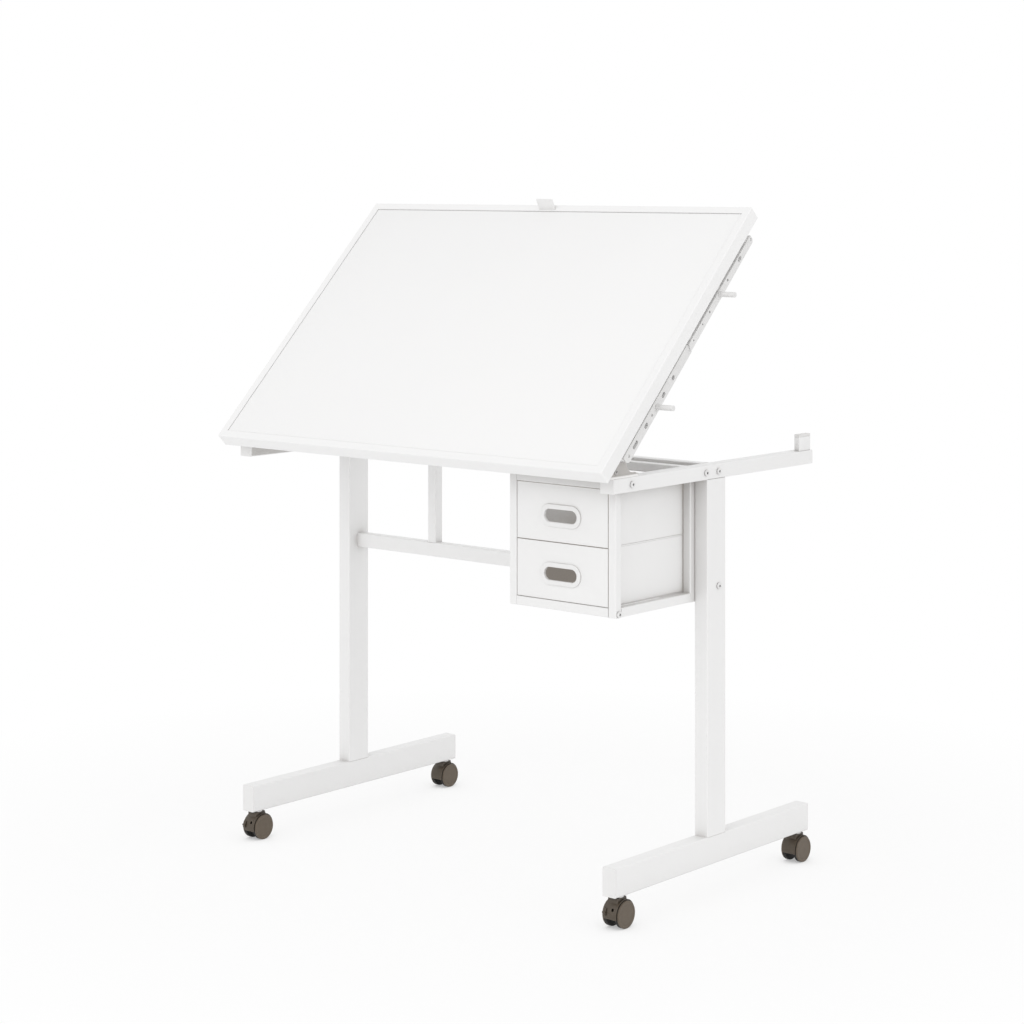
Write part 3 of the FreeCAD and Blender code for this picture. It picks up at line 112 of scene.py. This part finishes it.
class Paint:
    """The nodes of one material, or of the world."""

    # Cosines of the lean of a rounded edge from its face, where a painted edge highlight is full and where
    # it fades out.
    HIGHLIGHT_FULL = 0.70
    HIGHLIGHT_NONE = 0.98
    HIGHLIGHT_SAMPLES = 4
    SHADE_SAMPLES = 6

    # The sockets of a Mix node share their names, so those for colours go by number.
    MIX_FACTOR = 0
    MIX_FIRST = 6
    MIX_SECOND = 7
    MIX_RESULT = 2

    def __init__(self, name, owner=None):
        self.material = owner or bpy.data.materials.new(name)
        self.material.use_nodes = True
        self.tree = self.material.node_tree
        self.tree.nodes.clear()

    def node(self, kind, settings=None, sockets=None):
        """Adds a node: its settings first, then values or links for its sockets."""
        made = self.tree.nodes.new(kind)
        for name, setting in (settings or {}).items():
            setattr(made, name, setting)
        for name, content in (sockets or {}).items():
            socket = made.inputs[name]
            if isinstance(content, Value):
                self.tree.links.new(content.socket, socket)
            else:
                socket.default_value = content
        return Made(self, made)

    def vector_math(self, operation, sockets):
        """A node that calculates with vectors."""
        return self.node("ShaderNodeVectorMath", {"operation": operation}, sockets)

    def place(self):
        """Position on the object, in metres."""
        return self.node("ShaderNodeTexCoord").value("Object")

    def stretched(self, factors):
        """The position with each axis multiplied by its factor."""
        return self.vector_math("MULTIPLY", {0: self.place(), 1: factors}).value("Vector")

    def noise(self, scale, detail=3.0, roughness=0.55, where=None):
        """Cloudy noise from 0 to 1 with the given number of clouds per metre."""
        sockets = {"Vector": where or self.place(), "Scale": scale, "Detail": detail, "Roughness": roughness}
        return self.node("ShaderNodeTexNoise", {"noise_dimensions": "3D"}, sockets).value("Fac")

    def spread(self, value, low, high, out_low=0.0, out_high=1.0):
        """The value from low to high spread over the new range, and held beyond it."""
        sockets = {"Value": value, "From Min": low, "From Max": high, "To Min": out_low, "To Max": out_high}
        return self.node("ShaderNodeMapRange", {"clamp": True}, sockets).value("Result")

    def mix(self, factor, first, second):
        """A colour between two colours."""
        settings = {"data_type": "RGBA", "clamp_factor": True}
        sockets = {self.MIX_FACTOR: factor, self.MIX_FIRST: first, self.MIX_SECOND: second}
        return self.node("ShaderNodeMix", settings, sockets).value(self.MIX_RESULT)

    def edge_highlight(self, width):
        """Mask of painted highlights: 1 on sharp outer edges, falling to 0 within the width."""
        settings = {"samples": self.HIGHLIGHT_SAMPLES}
        rounded = self.node("ShaderNodeBevel", settings, {"Radius": width}).value("Normal")
        plain = self.node("ShaderNodeNewGeometry").value("Normal")
        lean = self.vector_math("DOT_PRODUCT", {0: rounded, 1: plain}).value("Value")
        return self.spread(lean, self.HIGHLIGHT_FULL, self.HIGHLIGHT_NONE, 1.0, 0.0)

    def hollow(self, reach, closed=0.25, free=0.85):
        """0 on open faces, 1 deep in corners and gaps no wider than the reach."""
        settings = {"samples": self.SHADE_SAMPLES}
        openness = self.node("ShaderNodeAmbientOcclusion", settings, {"Distance": reach}).value("AO")
        return self.spread(openness, closed, free, 1.0, 0.0)

    def share(self, axis):
        """0 at one end of the object and 1 at the other, along X, Y or Z."""
        box = self.node("ShaderNodeTexCoord").value("Generated")
        return self.node("ShaderNodeSeparateXYZ", {}, {"Vector": box}).value(axis)

    def bump(self, height, strength, distance):
        """The surface's direction over a relief of the given height, whose full height is the distance."""
        sockets = {"Height": height, "Strength": strength, "Distance": distance}
        return self.node("ShaderNodeBump", {}, sockets).value("Normal")

    def finish(self, colour, roughness, normal, **constants):
        """The surface; constants are sockets of the shader by name, with _ for a space."""
        sockets = {"Base Color": colour, "Roughness": roughness, "Normal": normal}
        sockets.update({name.replace("_", " "): content for name, content in constants.items()})
        shader = self.node("ShaderNodeBsdfPrincipled", {}, sockets).value("BSDF")
        self.node("ShaderNodeOutputMaterial", {}, {"Surface": shader})
        return self.material


def grey(level, warmth=0.0):
    """A linear grey from a display level of 0 to 255, with a little more red than blue."""
    linear = ((level / 255 + 0.055) / 1.055) ** 2.4
    return (linear * (1 + warmth), linear, linear * (1 - warmth), 1.0)


# ---------------------------------------------------------------- materials

SHADE_REACH = 0.11       # metres around a corner where shade is painted onto the coat
COAT_SHADE_DEPTH = 70          # display levels between the unshaded coat and its painted shade
PLASTIC_SHADE_DEPTH = 60         # display levels between the unshaded plastic and the painted shade in its corners

# Where one finish gives way to the next, in shares of the piece's size: up a bracket, from its white flange
# to its plate painted grey-brown as shade, and across a wheel, from its tread to its outer disc.
BRACKET_FLANGE = (0.115, 0.135)
TREAD_SHARE = (0.66, 0.70)


def powder_coat(name, level, warmth, reach=SHADE_REACH, painted_shade=0.75):
    """White powder coat: fine orange peel, slight gloss changes, and painted shade in corners and hollows.
    """
    paint = Paint(name)
    drift = paint.noise(3.0, 2.0)
    unshaded = paint.mix(drift, grey(level - 3, warmth), grey(level + 1, warmth))
    # painted shade: the coat turns towards a dark grey in corners and hollows
    colour = paint.mix(paint.hollow(reach) * painted_shade, unshaded, grey(level - COAT_SHADE_DEPTH, 0.05))
    peel = paint.noise(900.0, 2.0)
    waves = paint.noise(160.0, 1.0)
    normal = paint.bump(peel + waves * 1.5, 0.10, 0.0004)
    roughness = 0.36 + paint.noise(25.0) * 0.10
    return paint.finish(colour, roughness, normal, Coat_Weight=0.15, Coat_Roughness=0.25)


def galvanised(name, level, warmth):
    """Dull zinc-coated strip: cloudy grey with spangle, and a painted highlight along its edges."""
    paint = Paint(name)
    clouds = paint.noise(70.0, 4.0)
    spangle = paint.noise(420.0, 2.0)
    base = paint.mix(clouds, grey(level - 8, warmth), grey(level + 6, warmth))
    flecked = paint.mix(spangle * 0.35, base, grey(level + 14, warmth * 0.5))
    # painted highlight along the edges
    colour = paint.mix(paint.edge_highlight(0.0011) * 0.6, flecked, grey(238, 0.01))
    normal = paint.bump(spangle + clouds, 0.08, 0.0002)
    return paint.finish(colour, 0.42 + clouds * 0.14, normal)


def bracket_steel():
    """Hinge brackets: a dull plate painted grey-brown for the board's shade over it, with painted highlights
    on its edges, and a white flange on the rail.
    """
    paint = Paint("bracket_steel")
    clouds = paint.noise(70.0, 4.0)
    spangle = paint.noise(420.0, 2.0)
    # painted shade: the plate's grey-brown stands for the shade of the board above it
    base = paint.mix(clouds, grey(172, 0.045), grey(190, 0.040))
    # painted highlight along the plate's edges
    plate = paint.mix(paint.edge_highlight(0.0016) * 0.9, base, grey(244, 0.02))
    colour = paint.mix(paint.spread(paint.share("Z"), *BRACKET_FLANGE), grey(243, 0.012), plate)
    normal = paint.bump(spangle + clouds, 0.08, 0.0002)
    return paint.finish(colour, 0.42 + clouds * 0.14, normal)


def white_laminate():
    """Board surface: matte white laminate with a fine, even grain."""
    paint = Paint("white_laminate")
    drift = paint.noise(2.0, 3.0)
    colour = paint.mix(drift, grey(241, 0.004), grey(245, 0.002))
    pores = paint.noise(1400.0, 2.0)
    cloud = paint.noise(220.0, 2.0)
    normal = paint.bump(pores + cloud, 0.06, 0.0002)
    return paint.finish(colour, 0.50 + pores * 0.08, normal)


def drawer_board():
    """Drawer boards: smooth white lacquer over fine fibres; inside a box, painted brown-grey shade and a
    faint painted glow.
    """
    paint = Paint("drawer_board")
    drift = paint.noise(6.0, 3.0)
    outside = paint.mix(drift, grey(236, 0.006), grey(241, 0.004))
    inside = paint.hollow(0.14, closed=0.22, free=0.52)
    # painted shade: deep inside a box the board turns brown-grey
    colour = paint.mix(inside, outside, grey(88, 0.10))
    fibres = paint.noise(60.0, 4.0, where=paint.stretched((1.0, 1.0, 9.0)))
    normal = paint.bump(fibres, 0.05, 0.0003)
    roughness = 0.42 + paint.noise(40.0) * 0.10
    # painted light: the inner faces glow faintly, though the board is no lamp
    glow = paint.mix(inside, BLACK, grey(117, 0.10))
    return paint.finish(colour, roughness, normal, Emission_Color=glow, Emission_Strength=1.0)


def white_plastic(name, level):
    """Moulded white plastic: soft sheen, a fine spark-eroded texture, and painted shade in its corners."""
    paint = Paint(name)
    drift = paint.noise(30.0, 2.0)
    unshaded = paint.mix(drift, grey(level - 3, 0.008), grey(level + 1, 0.004))
    # painted shade: the plastic darkens in its corners and gaps
    colour = paint.mix(paint.hollow(0.02) * 0.5, unshaded, grey(level - PLASTIC_SHADE_DEPTH, 0.04))
    texture = paint.noise(1800.0, 2.0)
    normal = paint.bump(texture, 0.08, 0.0002)
    return paint.finish(colour, 0.40 + texture * 0.10, normal, Specular_IOR_Level=0.45)


def hood_plastic():
    """Moulded grey-brown nylon of the hoods: satin and mottled, with painted highlights on its edges and
    painted shade in its gaps.
    """
    paint = Paint("hood_plastic")
    mottle = paint.noise(120.0, 3.0)
    base = paint.mix(mottle, grey(58, 0.36), grey(74, 0.32))
    # painted highlight on the edges, broken up by noise
    highlit = paint.mix(paint.edge_highlight(0.0008) * paint.noise(300.0, 3.0), base, grey(136, 0.18))
    # painted shade: the gaps turn nearly black
    colour = paint.mix(paint.hollow(0.010), highlit, grey(20, 0.16))
    texture = paint.noise(1500.0, 2.0)
    normal = paint.bump(texture, 0.12, 0.0003)
    return paint.finish(colour, 0.30 + texture * 0.10 + mottle * 0.08, normal)


def wheel_plastic(name, tread_end, disc_end):
    """Wheels: a satin grey-brown outer disc with painted highlights on its edges and a dull black tread;
    both ends are shares of the width.
    """
    paint = Paint(name)
    mottle = paint.noise(120.0, 3.0)
    scuffs = paint.noise(260.0, 4.0)
    disc = paint.mix(mottle, grey(75, 0.34), grey(89, 0.30))
    tread = paint.mix(scuffs, grey(12, 0.20), grey(26, 0.18))
    outside = paint.spread(paint.share("X"), tread_end, disc_end)
    # painted highlight on the disc's edges
    highlit = paint.mix(paint.edge_highlight(0.0009) * outside * 0.5, disc, grey(132, 0.20))
    colour = paint.mix(outside, tread, highlit)
    normal = paint.bump(scuffs + mottle, 0.12, 0.0003)
    return paint.finish(colour, 0.62 - outside * 0.26 + scuffs * 0.10, normal)


def zinc_steel():
    """Bright zinc-plated steel with fine turning marks and painted shade inside its sockets."""
    paint = Paint("zinc_steel")
    cloud = paint.noise(90.0, 3.0)
    bright = paint.mix(cloud, grey(226, 0.01), grey(242, 0.0))
    # painted shade: sockets and other tight hollows turn dark
    colour = paint.mix(paint.hollow(0.0030), bright, grey(40, 0.02))
    marks = paint.noise(2500.0, 2.0)
    normal = paint.bump(marks, 0.10, 0.0001)
    return paint.finish(colour, 0.30 + cloud * 0.14, normal, Metallic=0.35)


def soft_pad():
    """Off-white rubber pads."""
    paint = Paint("soft_pad")
    drift = paint.noise(80.0, 3.0)
    colour = paint.mix(drift, grey(222, 0.015), grey(230, 0.010))
    texture = paint.noise(1200.0, 3.0)
    normal = paint.bump(texture, 0.15, 0.0003)
    return paint.finish(colour, 0.70 + drift * 0.10, normal)


MATERIALS = {
    "frame_coat": powder_coat("frame_coat", 240, 0.004),
    # the rim's coat is the frame's coat painted lighter for its upward-facing top, with less painted shade
    "lit_rim_coat": powder_coat("lit_rim_coat", 243, 0.003, painted_shade=0.4),
    # the left rail under the board's front edge gets a wider and deeper painted shade
    "shaded_coat": powder_coat("shaded_coat", 240, 0.004, reach=0.45, painted_shade=3.0),
    "arm_steel": galvanised("arm_steel", 224, 0.008),
    # the hinge bolts' darker, browner grey is painted shade from the board over them
    "shaded_bolt_steel": galvanised("shaded_bolt_steel", 180, 0.03),
    "bracket_steel": bracket_steel(),
    "white_laminate": white_laminate(),
    "drawer_board": drawer_board(),
    "moulded_white": white_plastic("moulded_white", 236),
    "wheel_right": wheel_plastic("wheel_right", *TREAD_SHARE),
    "wheel_left": wheel_plastic("wheel_left", *(1 - share for share in TREAD_SHARE)),
    "hood_plastic": hood_plastic(),
    "zinc_steel": zinc_steel(),
    "soft_pad": soft_pad(),
}

MATERIAL_BY_SLOT = {
    "white_steel": "frame_coat",
    "white_board": "white_laminate",
    "drawer_board": "drawer_board",
    "white_plastic": "moulded_white",
    "zinc_steel": "zinc_steel",
    "soft_pad": "soft_pad",
    "dark_plastic": "hood_plastic",
}

# Nodes whose names begin with these words look unlike the rest of their slot.
MATERIAL_BY_NAME = {
    "board_rim": "lit_rim_coat",
    "side_rail_left": "shaded_coat",
    "hinge_arm": "arm_steel",
    "slotted_rail": "arm_steel",
    "side_pegs": "arm_steel",
    "hinge_brackets": "bracket_steel",
    "hinge_bolts": "shaded_bolt_steel",
}


def material_for(node):
    """The name of the material that a node of the frame wears."""
    for beginning, material in MATERIAL_BY_NAME.items():
        if node.startswith(beginning):
            return material
    if SLOTS[node] == "grey_wheel":
        return "wheel_right" if node.endswith("_right") else "wheel_left"
    return MATERIAL_BY_SLOT[SLOTS[node]]


def wear_material(thing, name):
    """Gives a thing one material all over."""
    thing.data.materials.clear()
    thing.data.materials.append(MATERIALS[name])
    for face in thing.data.polygons:
        face.material_index = 0


# ---------------------------------------------------------------- softened edges

WELD_DISTANCE = 1e-6
FLAT_ANGLE = math.radians(1.0)
SHARP_ANGLE = math.radians(35.0)
EDGE_SEGMENTS = 3

# The width in metres of each node's rounded edges.
SOFT_EDGES = {
    "board_panel": 0.0006,
    "top_clip": 0.0008,
    "rest_blocks": 0.0007,
    "rest_pads": 0.0007,
    "drawer_lower_front": 0.0008,
    "drawer_upper_front": 0.0008,
    "drawer_lower_grip": 0.0007,
    "drawer_upper_grip": 0.0007,
    "hinge_arm_left": 0.0004,
    "hinge_arm_right": 0.0004,
    "slotted_rail_left": 0.0004,
    "slotted_rail_right": 0.0004,
    "side_pegs": 0.0008,
    "hinge_brackets": 0.0005,
    "frame_screws": 0.0006,
    "hinge_bolts": 0.0005,
}
for kind in ("caster_hood", "caster_brake"):
    SOFT_EDGES.update({node: 0.0004 for node in NODES if node.startswith(kind)})


def soften(node, width):
    """A copy of a node whose sharp edges are rounded; it stands for the node."""
    source = NODES[node]
    mesh = source.data.copy()
    mesh.name = f"{node}_rounded"
    work = bmesh.new()
    work.from_mesh(mesh)
    bmesh.ops.remove_doubles(work, verts=work.verts, dist=WELD_DISTANCE)
    bmesh.ops.dissolve_limit(work, angle_limit=FLAT_ANGLE, verts=work.verts, edges=work.edges)
    sharp = [edge for edge in work.edges
             if len(edge.link_faces) == 2 and edge.calc_face_angle(0.0) > SHARP_ANGLE]
    bmesh.ops.bevel(work, geom=sharp, offset=width, offset_type="OFFSET", segments=EDGE_SEGMENTS,
                    profile=0.5, affect="EDGES", clamp_overlap=True)
    bmesh.ops.recalc_face_normals(work, faces=work.faces)
    for face in work.faces:
        face.smooth = True
    work.to_mesh(mesh)
    work.free()
    piece = bpy.data.objects.new(f"{node}_rounded", mesh)
    bpy.context.scene.collection.objects.link(piece)
    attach(piece, source["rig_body"])
    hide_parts(node)
    return piece


def dress_nodes():
    """Materials for every node, and rounded copies of those with sharp edges."""
    for node, thing in NODES.items():
        wear_material(thing, material_for(node))
    for node, width in SOFT_EDGES.items():
        wear_material(soften(node, width), material_for(node))


# ---------------------------------------------------------------- studio

FLOOR_HALF = 9.0
FLOOR_CELLS = 8
FLOOR_GLOW = 0.78        # share of plain white in the floor near the table
SHADOW_REACH = 0.75      # metres from the middle where the floor starts to turn fully white
CONTACT_REACH = 0.05     # metres around a wheel where its contact darkens the floor
CONTACT_DEPTH = 0.6
WORLD_LIGHT = 0.88

LAMP_TARGET = (0.0, 0.0, 0.6)
LAMPS = (
    {"name": "right", "place": (4.2, -0.6, 1.9), "width": 2.6, "power": 16.0},
    {"name": "front", "place": (0.4, -4.4, 2.6), "width": 2.4, "power": 30.0},
)

CAMERA_PLACE = (2.9742, -3.5122, 1.2505)
CAMERA_LEVEL = 90.0
CAMERA_TURN = 40.31
CAMERA_LENS = 87.33
CAMERA_SENSOR = 36.0
CAMERA_SHIFT = -0.3277


def shown_to_eye(paint):
    """1 for what the camera sees, also mirrored or through glass; 0 for the light that falls on things."""
    path = paint.node("ShaderNodeLightPath")
    shown = path.value("Is Camera Ray")
    for ray in ("Is Glossy Ray", "Is Transmission Ray"):
        shown = shown.or_more(path.value(ray))
    return shown


def floor_material():
    """Pale floor that keeps the table's soft shadow and turns fully white to the eye farther out."""
    paint = Paint("studio_floor")
    colour = paint.mix(paint.noise(0.7), grey(246), grey(249))
    matte = paint.node("ShaderNodeBsdfDiffuse", {}, {"Color": colour}).value("BSDF")
    glow = paint.node("ShaderNodeEmission", {}, {"Color": WHITE, "Strength": 1.0}).value("Emission")
    distance = paint.vector_math("LENGTH", {0: paint.place()}).value("Value")
    far = paint.spread(distance, SHADOW_REACH, 2 * SHADOW_REACH, FLOOR_GLOW, 1.0)
    whiteness = far * (1.0 - paint.hollow(CONTACT_REACH) * CONTACT_DEPTH)
    shader = paint.node("ShaderNodeMixShader", {}, {0: shown_to_eye(paint) * whiteness, 1: matte, 2: glow})
    paint.node("ShaderNodeOutputMaterial", {}, {"Surface": shader.value("Shader")})
    return paint.material


def make_floor():
    """A wide level floor under the casters."""
    mesh = bpy.data.meshes.new("studio_floor")
    work = bmesh.new()
    bmesh.ops.create_grid(work, x_segments=FLOOR_CELLS, y_segments=FLOOR_CELLS, size=FLOOR_HALF)
    work.to_mesh(mesh)
    work.free()
    mesh.materials.append(floor_material())
    floor = bpy.data.objects.new("studio_floor", mesh)
    bpy.context.scene.collection.objects.link(floor)


def make_world():
    """White surroundings: fully white to the eye, a little dimmer as a light."""
    world = bpy.data.worlds.new("studio")
    bpy.context.scene.world = world
    paint = Paint("studio", world)
    light = paint.node("ShaderNodeBackground", {}, {"Color": WHITE, "Strength": WORLD_LIGHT})
    backdrop = paint.node("ShaderNodeBackground", {}, {"Color": WHITE, "Strength": 1.0})
    sockets = {0: shown_to_eye(paint), 1: light.value("Background"), 2: backdrop.value("Background")}
    mix = paint.node("ShaderNodeMixShader", {}, sockets)
    paint.node("ShaderNodeOutputWorld", {}, {"Surface": mix.value("Shader")})


def make_lamp(name, place, width, power):
    """A square soft lamp that looks at the middle of the table."""
    data = bpy.data.lights.new(name, "AREA")
    data.shape = "SQUARE"
    data.size = width
    data.energy = power
    lamp = bpy.data.objects.new(name, data)
    lamp.location = place
    direction = Vector(LAMP_TARGET) - Vector(place)
    lamp.rotation_euler = direction.to_track_quat("-Z", "Y").to_euler()
    bpy.context.scene.collection.objects.link(lamp)


def make_camera():
    """A level camera, so that uprights stay parallel; its frame is shifted down to the table."""
    data = bpy.data.cameras.new("photo_camera")
    data.lens = CAMERA_LENS
    data.sensor_width = CAMERA_SENSOR
    data.shift_y = CAMERA_SHIFT
    camera = bpy.data.objects.new("photo_camera", data)
    camera.location = CAMERA_PLACE
    camera.rotation_euler = (math.radians(CAMERA_LEVEL), 0.0, math.radians(CAMERA_TURN))
    bpy.context.scene.collection.objects.link(camera)
    bpy.context.scene.camera = camera


dress_nodes()
make_floor()
make_world()
for lamp in LAMPS:
    make_lamp(**lamp)
make_camera()
bpy.context.scene.view_settings.view_transform = "Standard"

bpy.context.view_layer.update()
